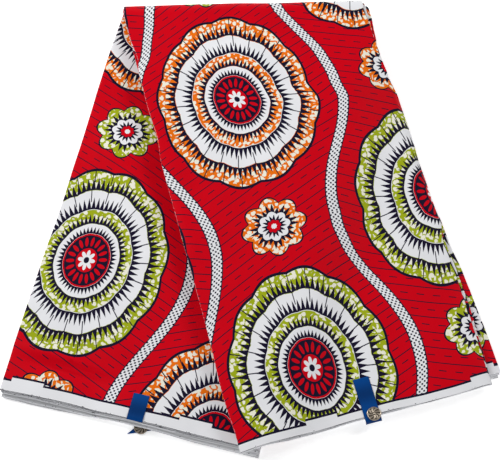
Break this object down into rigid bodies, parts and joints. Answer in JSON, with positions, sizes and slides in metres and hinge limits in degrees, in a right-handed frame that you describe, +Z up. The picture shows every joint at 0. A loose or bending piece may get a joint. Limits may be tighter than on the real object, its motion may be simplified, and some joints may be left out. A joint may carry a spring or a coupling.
{
  "type": "folded wax print fabric",
  "caption": "Length of printed cotton cloth folded into a flat stack and folded over once, its two legs splayed, with ribbon labels and foil seals.",
  "frame": {"origin": "bottom centre of the bounding box, on the surface the cloth lies on", "axes": "+Z up, -Y from the fold towards the two selvage ends, +X towards the front leg's side"},
  "size_m": [0.582, 0.6034, 0.0336],
  "materials": {
    "printed_cotton": "waxed cotton, soft sheen",
    "satin_ribbon": "satin",
    "gold_foil": "embossed foil"
  },
  "bodies": {
    "root": {"outer_panel": "printed_cotton", "outer_layers": "printed_cotton", "inner_layers": "printed_cotton", "inner_panel": "printed_cotton", "ribbon_front": "satin_ribbon", "ribbon_back": "satin_ribbon", "ribbon_back_tail": "satin_ribbon", "seal_front": "gold_foil", "seal_back": "gold_foil"}
  },
  "joints": []
}
